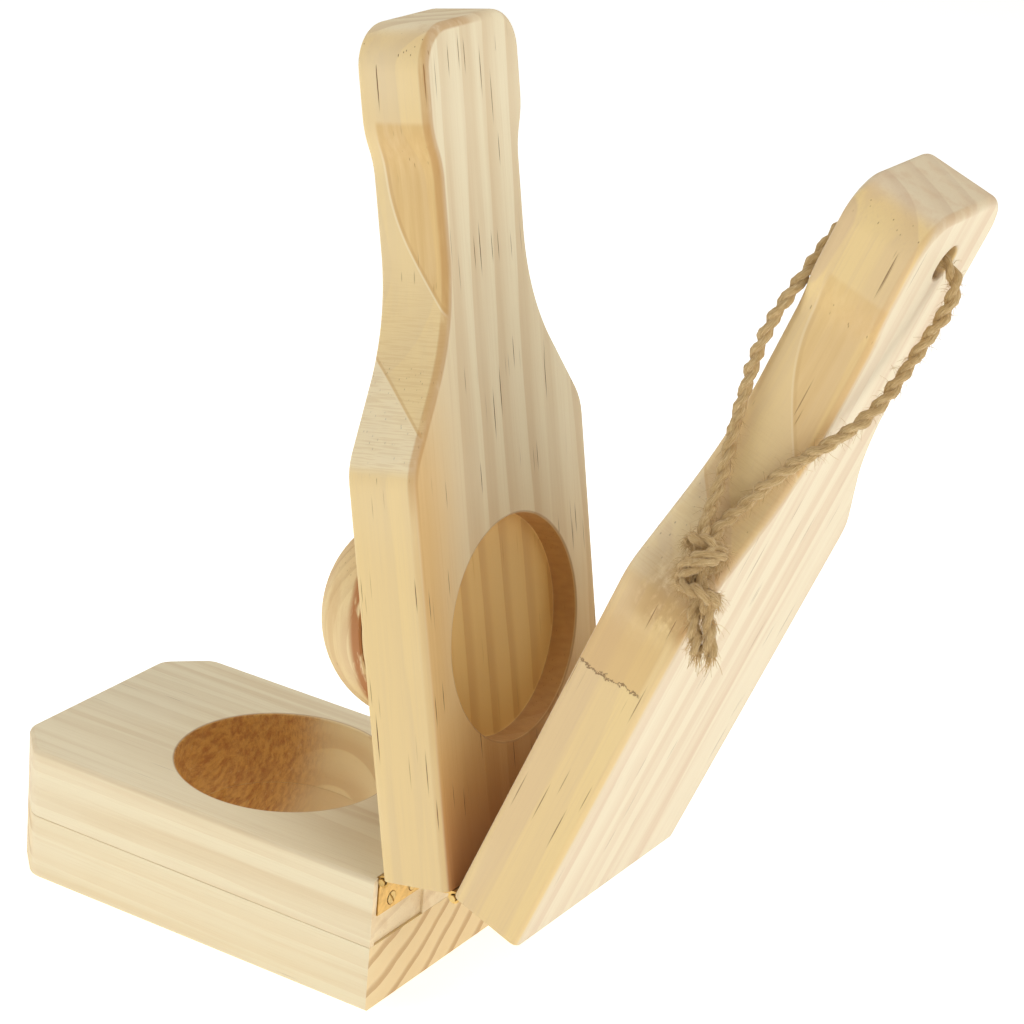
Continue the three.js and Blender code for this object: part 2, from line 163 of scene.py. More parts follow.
class Nodes:
    """A short way to write a material's node tree."""

    def __init__(self, name):
        self.material = bpy.data.materials.new(name)
        self.material.use_nodes = True
        self.tree = self.material.node_tree
        self.shader = self.tree.nodes["Principled BSDF"]

    def add(self, kind, inputs=None, **settings):
        node = self.tree.nodes.new("ShaderNode" + kind)
        for key, value in settings.items():
            setattr(node, key, value)
        for key, value in (inputs or {}).items():
            self.put(node.inputs[key], value)
        return node

    def put(self, socket, value):
        if isinstance(value, bpy.types.NodeSocket):
            self.tree.links.new(value, socket)
        else:
            socket.default_value = value

    def millimetres(self):
        """The place on the piece, in its own millimetres."""
        metres = self.add("TexCoord").outputs["Object"]
        to_mm = (1 / MM, 1 / MM, 1 / MM)
        return self.add("VectorMath", {0: metres, 1: to_mm}, operation="MULTIPLY").outputs[0]

    def math(self, operation, *values, clamp=False):
        node = self.add("Math", dict(enumerate(values)), operation=operation, use_clamp=clamp)
        return node.outputs[0]

    def times(self, first, *others):
        for other in others:
            first = self.math("MULTIPLY", first, other)
        return first

    def plus_times(self, start, value, factor):
        return self.math("MULTIPLY_ADD", value, factor, start)

    def less(self, whole, part):
        """What is left of the whole without the part, and never under 0."""
        return self.math("SUBTRACT", whole, part, clamp=True)

    def step(self, value, low, high, lowest=0.0):
        """A soft step that is lowest at low and 1 at high; low may be the larger of the two."""
        node = self.add("MapRange", {"Value": value, "From Min": low, "From Max": high,
                                     "To Min": lowest}, interpolation_type="SMOOTHSTEP")
        return node.outputs["Result"]

    def step_size(self, value, low, high):
        """The same step, on the size of a value without its sign."""
        return self.step(self.math("ABSOLUTE", value), low, high)

    def between(self, value, rise, fall):
        """1 between two soft edges."""
        return self.times(self.step(value, *rise), self.step(value, *fall))

    def mix(self, factor, a, b, blend="MIX"):
        node = self.add("Mix", data_type="RGBA", blend_type=blend)
        self.put(node.inputs["Factor"], factor)
        self.put(node.inputs[6], a)
        self.put(node.inputs[7], b)
        return node.outputs[2]

    def tint(self, colour, mask, amount, tone):
        """The colour, moved towards a tone by amount where the mask is 1."""
        return self.mix(self.times(mask, amount), colour, tone)

    def ramp(self, factor, stops):
        node = self.add("ValToRGB", {"Fac": factor})
        elements = node.color_ramp.elements
        while len(elements) < len(stops):
            elements.new(0.5)
        for element, (position, colour) in zip(elements, stops):
            element.position = position
            element.color = colour
        return node.outputs["Color"]

    def noise(self, vector, scale=1.0, detail=3.0, roughness=0.55):
        node = self.add("TexNoise", {"Vector": vector, "Scale": scale, "Detail": detail,
                                     "Roughness": roughness})
        return node.outputs["Fac"]

    def stretched(self, vector, scale, offset=(0, 0, 0)):
        node = self.add("Mapping", {"Vector": vector, "Scale": scale, "Location": offset})
        return node.outputs["Vector"]

    def attribute(self, name):
        return self.add("Attribute", attribute_name=name).outputs["Fac"]

    def bump(self, height, distance, strength):
        node = self.add("Bump", {"Height": height, "Distance": distance, "Strength": strength})
        self.put(self.shader.inputs["Normal"], node.outputs["Normal"])


def linear(red, green, blue):
    """An sRGB colour in 0-255 as linear RGBA."""
    def channel(value):
        value /= 255
        return value / 12.92 if value <= 0.04045 else ((value + 0.055) / 1.055) ** 2.4
    return (channel(red), channel(green), channel(blue), 1.0)


# ------------------------------------------------------------------ wood

PALE = linear(238, 224, 190)
GOLD = linear(234, 206, 148)
LATE = linear(216, 188, 146)
END_GRAIN = linear(214, 176, 118)
# the dark brown of the burnished near edge, also used as painted shade beside the edges of the
# planed flats
BURNISH_AND_SHADE = linear(190, 142, 84)
FLECK = linear(112, 74, 38)

# places along a paddle where the tool changed its cut
NECK_FOOT = 120.0
GOLDEN_FLAT_START = 202.0
PALE_FLAT_END = 150.0
GOLDEN_FLAT_END = 215.5
SPLIT_START = 86.0
BAND_START = 128.0


def rings(m, s, t, n, point, pith, spacing, lean, seed):
    """Growth rings about a pith line at (t, n): 0 in early wood, 1 at the late edge.

    The second value is random, and the same all through one year's ring.
    """
    slow = m.noise(m.stretched(point, (0.005, 0.016, 0.016), (seed, seed * 2, 0)), detail=2.0)
    wobble = m.noise(m.stretched(point, (0.018, 0.09, 0.09), (seed * 3, 0, seed)), detail=2.0)
    across = m.math("SUBTRACT", m.plus_times(t, s, lean), pith[0])
    above = m.math("SUBTRACT", n, pith[1])
    radius = m.math("SQRT", m.math("ADD", m.times(across, across), m.times(above, above)))
    radius = m.plus_times(radius, slow, 11.0)
    radius = m.plus_times(radius, wobble, 1.6)
    turns = m.math("DIVIDE", radius, spacing)
    ring = m.between(m.math("FRACT", turns), (0.15, 0.92), (1.0, 0.95))
    count = m.add("CombineXYZ", {0: m.math("FLOOR", turns), 1: seed}).outputs[0]
    year = m.noise(count, scale=0.77, detail=0.0)
    return ring, m.step(year, 0.2, 0.75)


def resin_flecks(m, point, share, seed):
    """Thin dark dashes, a few millimetres long, that follow the fibres."""
    masks = []
    for length, width, shift in ((0.034, 1.05, 3.0), (0.022, 0.8, 11.0)):
        place = m.stretched(point, (length, width, width), (shift, seed, 3))
        cells = m.add("TexVoronoi", {"Vector": place, "Scale": 1.0, "Randomness": 1.0})
        drawn = m.add("SeparateColor", {0: cells.outputs["Color"]}).outputs[0]
        masks.append(m.times(m.step(cells.outputs["Distance"], 0.2, 0.07),
                             m.step(drawn, 1.0 - 0.3 * share, 1.04 - 0.3 * share)))
    return m.math("MAXIMUM", masks[0], masks[1])


def painted_shade_face(m, colour, s, t, aside, normal):
    """Painted shade on the outer face near the hinge end, in the gap between the middle and top
    paddles, and a darker tan along its near side.
    """
    # painted shade in the gap between the paddles, deepest towards the hinge end
    gap_shade = m.times(m.step(s, 120.0, 20.0), m.less(1.0, aside))
    near_side = m.times(m.step(s, 200.0, 100.0), m.step(t, 12.0, 42.0), m.less(0.8, aside))
    outwards = m.step(normal[2], 0.3, 0.7)
    painted_shade = m.times(m.math("MAXIMUM", gap_shade, near_side), outwards)
    deep_shade = m.mix(m.step(s, 60.0, 0.0), linear(232, 190, 110), linear(196, 130, 60))
    return m.tint(colour, painted_shade, 0.85, m.mix(0.72, deep_shade, colour, "MULTIPLY"))


def planed_facets(m, colour, s, n, aside, point, share):
    """The tool left three flats on each side of the neck, drawn in colour only: a golden one, then
    two paler ones, their tones partly the wood's own and partly painted light for the slope of
    each flat.
    """
    fall = m.math("MAXIMUM", m.math("SUBTRACT", GOLDEN_FLAT_START, s), 0.0)
    first = m.plus_times(5.0, m.times(fall, fall), 0.0105)
    second = m.times(m.math("SUBTRACT", PALE_FLAT_END, s), 1.15)
    golden = m.times(m.step(m.math("SUBTRACT", n, first), -0.4, 0.9),
                     m.step(s, GOLDEN_FLAT_END, GOLDEN_FLAT_END - 2.0))
    palest = m.times(m.step(m.math("SUBTRACT", second, n), -0.4, 0.6),
                     m.step(s, NECK_FOOT + 0.5, NECK_FOOT + 4.0))
    neck = m.between(s, (NECK_FOOT, NECK_FOOT + 3.0), (214.0, 200.0))
    middle = m.less(neck, m.math("MAXIMUM", golden, palest))
    grain = m.noise(m.stretched(point, (0.02, 0.5, 0.5)), detail=4.0, roughness=0.6)
    rubbed = m.times(golden, m.step(grain, 0.2, 0.75))
    chatter = m.noise(m.stretched(point, (2.6, 0.05, 0.12)), detail=1.0)
    cross = m.times(m.step(chatter, 0.45, 0.62), m.step(s, 182.0, PALE_FLAT_END),
                    m.math("MAXIMUM", palest, middle))
    tones = ((golden, linear(222, 184, 120), 0.45), (rubbed, linear(206, 164, 98), 0.5),
             (palest, linear(240, 226, 192), 0.7), (middle, linear(230, 206, 156), 0.55),
             (cross, linear(206, 170, 116), 0.25))
    for mask, tone, amount in tones:
        colour = m.tint(colour, m.times(mask, aside), amount * share, tone)
    # pale lines on the edges of the flats are painted highlights, with a line of painted shade
    # beside each
    for edge in (first, second):
        offset = m.math("SUBTRACT", n, edge)
        ridge = m.times(m.step_size(offset, 0.55, 0.15), neck, aside)
        colour = m.tint(colour, ridge, 0.4 * share, linear(246, 232, 200))
        beside = m.math("SUBTRACT", offset, 0.9)
        shade_line = m.times(m.step_size(beside, 0.9, 0.2), neck, aside)
        colour = m.tint(colour, shade_line, 0.35 * share, BURNISH_AND_SHADE)
    return colour


def split_edge(m, colour, s, n, aside, point):
    """A ragged split across one side and a torn patch beyond it, and where the split is."""
    ragged = m.noise(m.stretched(point, (0.5, 0.5, 0.5)), detail=4.0, roughness=0.7)
    line = m.plus_times(m.plus_times(SPLIT_START, ragged, 7.0), n, 0.12)
    off = m.math("SUBTRACT", s, line)
    inside = m.times(aside, m.step(n, 21.0, 19.5))
    # painted shade on the stretch of side beyond the split
    above = m.times(m.between(off, (0.0, 0.4), (26.0, 12.0)), inside)
    colour = m.tint(colour, above, 0.4, linear(204, 160, 96))
    torn = m.noise(m.stretched(point, (0.12, 0.2, 0.25), (7, 0, 0)), detail=4.0, roughness=0.65)
    patch = m.times(m.between(s, (109.0, 116.0), (136.0, 124.0)), m.step(n, 1.0, 12.0),
                    m.step(torn, 0.3, 0.55), aside)
    colour = m.tint(colour, patch, 0.55, linear(172, 126, 68))
    crack = m.times(m.step_size(off, 0.42, 0.12), inside)
    return m.tint(colour, crack, 0.75, linear(118, 78, 40)), crack


def pine(name, pith=(10, -70), spacing=4.2, lean=0.02, face=PALE, side=GOLD, late=LATE,
         contrast=0.6, streaks=0.4, flecks=0.6, end=END_GRAIN, end_tone=0.6, band_tone=0.6,
         band_start=None, seed=0.0, extra=()):
    """Pine cut lengthways: growth rings about a pith line at (t, n), fibres along s, flecks.

    The rings are solid, so they run as lines on the faces and as arcs on the ends.
    """
    m = Nodes(name)
    point = m.millimetres()
    s, t, n = m.add("SeparateXYZ", {0: point}).outputs
    normal = m.add("SeparateXYZ", {0: m.add("TexCoord").outputs["Normal"]}).outputs
    aside = m.step_size(normal[1], 0.35, 0.75)

    # rings, fibres and a broad drift of tone
    ring, year = rings(m, s, t, n, point, pith, spacing, lean, seed)
    fibre = m.noise(m.stretched(point, (0.035, 1.9, 1.9), (0, seed, 0)), detail=5.0,
                    roughness=0.65)
    streak = m.noise(m.stretched(point, (0.004, 0.16, 0.16), (seed, 0, 0)))
    drift = m.noise(m.stretched(point, (0.012, 0.02, 0.02), (0, 0, seed)), detail=2.0)
    # faces and sides take their own tones: partly the wood's own and partly painted light on the
    # faces that take the most light
    colour = m.mix(aside, face, side)
    colour = m.tint(colour, m.times(year, ring), contrast, late)
    colour = m.tint(colour, m.step(fibre, 0.45, 0.8), 0.28, late)
    colour = m.tint(colour, m.step(streak, 0.46, 0.66), streaks, late)
    colour = m.tint(colour, m.step(drift, 0.5, 0.2), 0.3, linear(244, 232, 204))
    # painted shade in the gap between the middle and top paddles
    if "painted_shade" in extra:
        colour = painted_shade_face(m, colour, s, t, aside, normal)
    dash = m.times(resin_flecks(m, point, flecks, seed), min(1.0, flecks + 0.25))
    colour = m.mix(dash, colour, FLECK)

    # sawn ends and cut shoulders drink the light
    facing = m.times(m.step_size(normal[0], 0.25, 0.9), end_tone)
    pores = m.noise(m.stretched(point, (0.5, 4.0, 4.0)), detail=4.0, roughness=0.7)
    rough_end = m.tint(end, m.step(ring, 0.62, 0.98), 0.8, linear(186, 144, 92))
    rough_end = m.tint(rough_end, m.step(pores, 0.5, 0.75), 0.6, linear(232, 204, 152))
    colour = m.mix(facing, colour, rough_end)

    split = None
    if "facets" in extra:
        share = 1.0 if "painted_shade" in extra else 0.55
        colour = planed_facets(m, colour, s, n, aside, point, share)
    if "split" in extra:
        colour, split = split_edge(m, colour, s, n, aside, point)

    # burnished rounding along the near outer edge, strongest around the neck
    band = m.attribute("band")
    if band_start is not None:
        band = m.times(band, m.step(s, band_start - 26, band_start, lowest=0.25))
    patchy = m.noise(m.stretched(point, (0.05, 0.3, 0.3)))
    burnt = m.times(band, m.step(n, 6.0, 14.0), m.step(t, -8.0, 6.0), m.step(patchy, 0.1, 0.55))
    colour = m.tint(colour, burnt, band_tone, BURNISH_AND_SHADE)
    colour = m.tint(colour, m.attribute("rim"), 0.5, linear(156, 106, 56))

    height = m.times(fibre, 0.5)
    if "cup" in extra:
        colour, height = cup_finish(m, colour, point, normal, ring, height)
    if "recess" in extra:
        colour = recess_finish(m, colour, point, normal, ring)
    if "resin" in extra:
        colour = resin_pocket(m, colour, n, t, point)
    height = m.plus_times(height, ring, 0.25)
    height = m.plus_times(height, m.times(pores, facing), 0.6)
    height = m.plus_times(height, dash, -0.8)
    if split is not None:
        height = m.plus_times(height, split, -3.0)
    m.bump(height, distance=0.25 * MM, strength=0.5)
    m.put(m.shader.inputs["Base Color"], colour)
    m.put(m.shader.inputs["Roughness"], m.plus_times(0.5, fibre, 0.2))
    m.shader.inputs["Specular IOR Level"].default_value = 0.3
    return m.material


def recess_finish(m, colour, point, normal, ring):
    """Inside the round recess: golden floor with soft rings, partly the wood's colour and partly
    painted bounce light, and a brown end-grain wall, partly the wood's colour and partly painted
    shade.
    """
    inside = m.attribute("bowl")
    wall = m.times(inside, m.step_size(normal[2], 0.7, 0.3))
    floor = m.less(inside, wall)
    golden = m.tint(linear(252, 212, 132), m.step(ring, 0.4, 1.0), 0.45, linear(212, 160, 90))
    colour = m.tint(colour, floor, 0.8, golden)
    # the wall's brown is partly painted shade
    brown_mottle = m.noise(m.stretched(point, (0.6, 0.6, 0.2)))
    brown = m.mix(brown_mottle, linear(174, 118, 56), linear(206, 156, 88))
    return m.tint(colour, wall, 0.85, brown)


def resin_pocket(m, colour, n, t, point):
    """A brown pocket of resin in the end grain beside the joint of the plunger."""
    beside_joint = m.times(m.step(n, -15.5, -12.8), m.step(t, 8.0, 20.0))
    ragged = m.noise(m.stretched(point, (0.07, 0.05, 0.3)), detail=4.0, roughness=0.6)
    pocket = m.times(beside_joint, m.step(ragged, 0.38, 0.5))
    return m.tint(colour, pocket, 0.85, linear(170, 98, 40))


def cup_finish(m, colour, point, normal, ring, bump_height):
    """Inside the turned cup: torn orange-brown grain where the tool met the fibres end on, put
    only on the wall that faces the hinge end and darkened there with painted shade; the rest of
    the bowl is painted a bright golden as painted light.
    """
    inside = m.attribute("bowl")
    # the wall that faces the hinge end: torn grain with painted shade
    shade_side = m.step(normal[0], 0.05, -0.55)
    torn = m.times(inside, shade_side)
    lit_wall = m.times(inside, m.less(1.0, shade_side))
    tear = m.noise(m.stretched(point, (0.9, 0.16, 0.35)), detail=5.0, roughness=0.7)
    wisps = m.noise(m.stretched(point, (1.6, 0.35, 0.7)), roughness=0.6)
    dark = m.mix(m.step(tear, 0.32, 0.66), linear(186, 116, 42), linear(232, 178, 94))
    dark = m.tint(dark, m.step(wisps, 0.6, 0.75), 0.65, linear(234, 196, 136))
    colour = m.tint(colour, torn, 0.85, dark)
    # painted light: the rest of the bowl a brighter golden
    lit_tone = m.tint(linear(255, 234, 178), ring, 0.6, linear(222, 184, 122))
    colour = m.tint(colour, lit_wall, 0.7, lit_tone)
    return colour, m.plus_times(bump_height, m.times(tear, torn), 5.0)


# ------------------------------------------------------------------ solids in board measures


def new_object(name, data, place=None):
    obj = bpy.data.objects.new(name, data)
    bpy.context.scene.collection.objects.link(obj)
    if place is not None:
        obj.matrix_world = place
    return obj


def mesh_from(name, points, faces, place=None):
    """A mesh from points in millimetres, with its normals made to face out."""
    mesh = bpy.data.meshes.new(name)
    mesh.from_pydata([tuple(c * MM for c in p) for p in points], [], faces)
    mesh.validate()
    work = bmesh.new()
    work.from_mesh(mesh)
    bmesh.ops.recalc_face_normals(work, faces=work.faces)
    work.to_mesh(mesh)
    work.free()
    return new_object(name, mesh, place)


def sleeve(count, sides, start=0):
    """Faces that join so many rings of points, from point number start on."""
    faces = []
    for ring in range(count - 1):
        for k in range(sides):
            a = start + ring * sides + k
            b = start + ring * sides + (k + 1) % sides
            faces.append((a, b, b + sides, a + sides))
    return faces


def closed_sleeve(count, sides, start=0):
    """The same, with its first and last rings closed."""
    last = start + (count - 1) * sides
    return sleeve(count, sides, start) + [tuple(reversed(range(start, start + sides))),
                                          tuple(range(last, last + sides))]


def quarter(steps, first=0):
    """The angles of a quarter turn, from step number first."""
    return [k / steps * math.pi / 2 for k in range(first, steps + 1)]


def arc(centre, radius, start, end, steps):
    angles = [start + (end - start) * k / steps for k in range(steps + 1)]
    return [(centre[0] + radius * math.cos(a), centre[1] + radius * math.sin(a)) for a in angles]


def softened(points, radius, steps=4):
    """An open line of (s, t) points with its inner corners rounded."""
    result = [points[0]]
    for before, corner, after in zip(points, points[1:], points[2:]):
        a, b, c = Vector(before), Vector(corner), Vector(after)
        one, two = (a - b).normalized(), (c - b).normalized()
        reach = min(radius, (a - b).length / 2.2, (c - b).length / 2.2)
        start, end = b + one * reach, b + two * reach
        for k in range(steps + 1):
            u = k / steps
            result.append(tuple(start.lerp(b, u).lerp(b.lerp(end, u), u)))
    return result + [points[-1]]


def base_side():
    """Half the base's outline, from the hinge end's near corner to the middle of the free end."""
    corners = [(0, HALF), (BASE_LENGTH - CORNER_CUT, HALF), (BASE_LENGTH, HALF - CORNER_CUT),
               (BASE_LENGTH, 0)]
    return softened(corners, 3.0)


def paddle_side():
    """Half a paddle's outline, from the hinge end's near corner to the middle of the head."""
    shoulder = HALF - (SHOULDER_END - BODY_LENGTH) * math.tan(SHOULDER_SLOPE)
    throat_s = SHOULDER_END + THROAT_RADIUS * math.sin(SHOULDER_SLOPE)
    throat_t = shoulder + THROAT_RADIUS * math.cos(SHOULDER_SLOPE)
    neck = throat_t - THROAT_RADIUS
    down = -math.pi / 2
    throat = arc((throat_s, throat_t), THROAT_RADIUS, down - SHOULDER_SLOPE, down, 18)
    swell_s, swell_t = (HEAD_START - NECK_END) / 2, (HEAD_HALF - neck) / 2
    angle = 2 * math.atan(swell_t / swell_s)
    swell = swell_s / math.sin(angle)
    swell_in = arc((NECK_END, neck + swell), swell, down, down + angle, 8)
    swell_out = arc((HEAD_START, HEAD_HALF - swell), swell, -down + angle, -down, 8)[1:]
    head = arc((PADDLE_LENGTH - HEAD_ROUND, HEAD_HALF - HEAD_ROUND), HEAD_ROUND, -down, 0, 12)
    corner = softened([(0, HALF), (BODY_LENGTH, HALF), throat[0]], 5.0)[:-1]
    return corner + throat + swell_in + swell_out + head + [(PADDLE_LENGTH, 0)]


def both_sides(side):
    return side + [(s, -t) for s, t in reversed(side[:-1])]


def inset(path, amount):
    """An open (s, t) line moved inwards, with its two ends kept on the hinge end."""
    points = [Vector(p) for p in path]
    moved = []
    for k, point in enumerate(points):
        before = points[k] - points[k - 1] if k else points[1] - points[0]
        after = points[k + 1] - point if k < len(points) - 1 else before
        one = Vector((before.y, -before.x)).normalized()
        two = Vector((after.y, -after.x)).normalized()
        mitre = one + two
        mitre = mitre / max(mitre.length_squared / 2, 0.5)
        moved.append((point.x + mitre.x * amount, point.y + mitre.y * amount))
    return moved


def board(name, path, low, high, round_low, round_high, place, steps=6):
    """A plank with the outline path between heights low and high, rounded along its outline."""
    levels = [(round_low * (1 - math.sin(a)), low + round_low * (1 - math.cos(a)))
              for a in quarter(steps)]
    levels += [(round_high * (1 - math.cos(a)), high - round_high * (1 - math.sin(a)))
               for a in quarter(steps)]
    points = [(s, t, height) for amount, height in levels for s, t in inset(path, amount)]
    return mesh_from(name, points, closed_sleeve(len(levels), len(path)), place)


def lathe(name, profile, centre, place, sides=128):
    """A turned solid about the line along n through centre; profile points are (radius, n)."""
    points = []
    for radius, height in profile:
        for k in range(sides):
            angle = 2 * math.pi * k / sides
            points.append((centre[0] + radius * math.cos(angle),
                           centre[1] + radius * math.sin(angle), height))
    return mesh_from(name, points, closed_sleeve(len(profile), sides), place)


def block(name, low, high, place):
    points = [(x, y, z) for x in (low[0], high[0]) for y in (low[1], high[1])
              for z in (low[2], high[2])]
    faces = [(0, 1, 3, 2), (4, 6, 7, 5), (0, 4, 5, 1), (2, 3, 7, 6), (0, 2, 6, 4), (1, 5, 7, 3)]
    return mesh_from(name, points, faces, place)


def cut(obj, *cutters):
    """Takes the cutters out of obj and deletes them."""
    for cutter in cutters:
        modifier = obj.modifiers.new("cut", "BOOLEAN")
        modifier.operation = "DIFFERENCE"
        modifier.solver = "EXACT"
        modifier.object = cutter
    apply_modifiers(obj)
    for cutter in cutters:
        bpy.data.objects.remove(cutter)


def apply_modifiers(obj):
    bpy.context.view_layer.update()
    evaluated = obj.evaluated_get(bpy.context.evaluated_depsgraph_get())
    mesh = bpy.data.meshes.new_from_object(evaluated)
    obj.modifiers.clear()
    obj.data = mesh


def smooth(obj, angle=35):
    """Smooth shading with crisp edges, and flat faces kept flat."""
    obj.data.shade_smooth()
    obj.data.set_sharp_from_angle(angle=math.radians(angle))
    weighted = obj.modifiers.new("weighted", "WEIGHTED_NORMAL")
    weighted.keep_sharp = True
    apply_modifiers(obj)


def store(obj, name, values):
    attribute = obj.data.attributes.new(name, "FLOAT", "POINT")
    attribute.data.foreach_set("value", np.asarray(values, np.float32))


def corners_of(obj):
    points = np.empty(len(obj.data.vertices) * 3, np.float32)
    obj.data.vertices.foreach_get("co", points)
    return points.reshape(-1, 3) / MM


def distance_to_line(points, path):
    """How far each (s, t) point is from an open line."""
    best = np.full(len(points), 1e9)
    for a, b in zip(path, path[1:]):
        a, b = np.array(a), np.array(b)
        along = b - a
        u = np.clip(((points - a) @ along) / max(along @ along, 1e-9), 0, 1)
        best = np.minimum(best, np.linalg.norm(points - a - u[:, None] * along, axis=1))
    return best


def mark_edges(obj, path, low, high, width):
    """Stores 1 on the rounding along the outline and 0 on the flat faces."""
    points = corners_of(obj)
    inwards = distance_to_line(points[:, :2].astype(float), path)
    depth = np.minimum(points[:, 2] - low, high - points[:, 2])
    rounding = (inwards < width - 0.05) & (depth < width - 0.05)
    flat = (depth < 0.02) | (inwards < 0.02)
    store(obj, "band", np.where(rounding & ~flat, 1.0, 0.0))


def mark_rings(obj, name, radius_low, radius_high):
    """Stores 1 where a point is between two distances from the press centre."""
    points = corners_of(obj)
    reach = np.hypot(points[:, 0] - PRESS_CENTRE, points[:, 1])
    store(obj, name, ((reach > radius_low) & (reach < radius_high)).astype(float))


def finish_piece(obj, material, body, slot, *nodes):
    obj.data.materials.clear()
    obj.data.materials.append(material)
    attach(obj, body)
    if nodes:
        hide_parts(*nodes)


# ------------------------------------------------------------------ base

BASE_PATH = both_sides(base_side())
PADDLE_PATH = both_sides(paddle_side())
RIM = 0.9                                     # rounding at the mouth of a hole
TURNED_STEPS = 24


def flared(profile, mouth_radius, mouth):
    """Adds the rounded rim of a hole that opens upwards at height mouth."""
    rim = [(mouth_radius + RIM * (1 - math.cos(a)), mouth - RIM * (1 - math.sin(a)))
           for a in quarter(4)]
    return profile + rim + [(mouth_radius + RIM, mouth + 2)]


def cup_cutter():
    bowl_height = CUP_DEPTH - CUP_STRAIGHT
    bowl = [(CUP_RADIUS * math.sin(a), BASE_HEIGHT - CUP_STRAIGHT - bowl_height * math.cos(a))
            for a in quarter(TURNED_STEPS, 1)]
    return lathe("cutter", flared(bowl, CUP_RADIUS, BASE_HEIGHT), (PRESS_CENTRE, 0), BASE_PLACE)


def hinge_gains(place, low, high):
    """Cutters for the shallow recesses of the near and far hinges in a hinge end."""
    cutters = []
    for side in ("near", "far"):
        leaf_low, leaf_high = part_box(f"lower_hinge_{side}_base_leaf")
        across = sorted((-leaf_low.y / MM, -leaf_high.y / MM))
        cutters.append(block("cutter", (-1, across[0] - GAIN_PLAY, low),
                             (GAIN_DEPTH, across[1] + GAIN_PLAY, high), place))
    return cutters


def make_base():
    lower = board("base_block_lower", BASE_PATH, 0, UPPER_BOTTOM - GLUE_LINE, 1.0, 0.2, BASE_PLACE)
    cut(lower, cup_cutter())
    upper = board("base_block_upper", BASE_PATH, UPPER_BOTTOM, BASE_HEIGHT, 0.2, 1.6, BASE_PLACE)
    cut(upper, cup_cutter(), *hinge_gains(BASE_PLACE, UPPER_BOTTOM - 1, BASE_HEIGHT + 1))
    for obj, low, high, width in ((lower, 0, LOWER_TOP, 1.0),
                                  (upper, UPPER_BOTTOM, BASE_HEIGHT, 1.6)):
        smooth(obj)
        mark_edges(obj, BASE_PATH, low, high, width)
        mark_rings(obj, "rim", CUP_RADIUS + 0.05, CUP_RADIUS + RIM - 0.05)
        mark_rings(obj, "bowl", -1, CUP_RADIUS + 0.3)
    warm = pine("pine_base_lower", pith=(60, 75), spacing=8.7, lean=-0.02, side=PALE,
                late=linear(222, 194, 148), contrast=0.28, flecks=0.2,
                end=linear(234, 210, 162), end_tone=0.85, band_tone=0.1, seed=3.1,
                extra=("cup",))
    pale = pine("pine_base_upper", pith=(55, 120), spacing=6.4, lean=0.03,
                face=linear(246, 232, 198), side=PALE, contrast=0.26, flecks=0.15,
                end_tone=0.2, band_tone=0.12, seed=8.4, extra=("cup",))
    finish_piece(lower, warm, "base", "warm_pine", "base_lower_board")
    finish_piece(upper, pale, "base", "pale_pine", "base_upper_board")


make_base()

# ------------------------------------------------------------------ paddles


def recess_cutter():
    floor = MIDDLE_THICKNESS - RECESS_DEPTH
    profile = [(RECESS_RADIUS - 0.8, floor), (RECESS_RADIUS - 0.25, floor + 0.25),
               (RECESS_RADIUS, floor + 0.8)]
    return lathe("cutter", flared(profile, RECESS_RADIUS, MIDDLE_THICKNESS), (PRESS_CENTRE, 0),
                 MIDDLE_PLACE)


def hole_cutter():
    """The hanging hole, softened at both mouths."""
    profile = [(HOLE_RADIUS + RIM, -2), (HOLE_RADIUS + RIM, 0),
               (HOLE_RADIUS + RIM * 0.3, RIM * 0.3), (HOLE_RADIUS, RIM)]
    return lathe("cutter", flared(profile, HOLE_RADIUS, TOP_THICKNESS), (HOLE_CENTRE, 0),
                 TOP_PLACE, sides=48)


def make_paddles():
    middle = board("paddle_middle", PADDLE_PATH, 0, MIDDLE_THICKNESS, EDGE_ROUND, EDGE_ROUND,
                   MIDDLE_PLACE)
    cut(middle, recess_cutter(), *hinge_gains(MIDDLE_PLACE, -1, GAIN_HEIGHT))
    top = board("paddle_top", PADDLE_PATH, 0, TOP_THICKNESS, EDGE_ROUND, EDGE_ROUND, TOP_PLACE)
    cut(top, hole_cutter())
    for obj, thickness in ((middle, MIDDLE_THICKNESS), (top, TOP_THICKNESS)):
        smooth(obj)
        mark_edges(obj, PADDLE_PATH, 0, thickness, EDGE_ROUND)
    mark_rings(middle, "rim", RECESS_RADIUS + 0.05, RECESS_RADIUS + RIM - 0.05)
    mark_rings(middle, "bowl", -1, RECESS_RADIUS + 0.1)
    # the middle paddle's wood carries painted shade in the gap between the paddles
    painted_shade = pine("pine_middle", pith=(-125, -70), spacing=9.0, late=linear(214, 188, 148),
                  contrast=0.62, streaks=0.34, flecks=0.85, end_tone=0.15,
                  band_start=BAND_START, seed=1.7, extra=("facets", "recess", "painted_shade"))
    bleached = pine("pine_top", pith=(135, -60), spacing=11.5, lean=-0.02,
                    face=linear(226, 212, 182), late=linear(208, 178, 146), contrast=0.55,
                    flecks=0.5, end_tone=0.2, band_tone=0.3, band_start=BAND_START, seed=5.2,
                    extra=("facets", "split"))
    finish_piece(middle, painted_shade, "middle", "pale_pine", "middle_paddle")
    finish_piece(top, bleached, "top", "pale_pine", "top_paddle")


make_paddles()

# ------------------------------------------------------------------ plunger


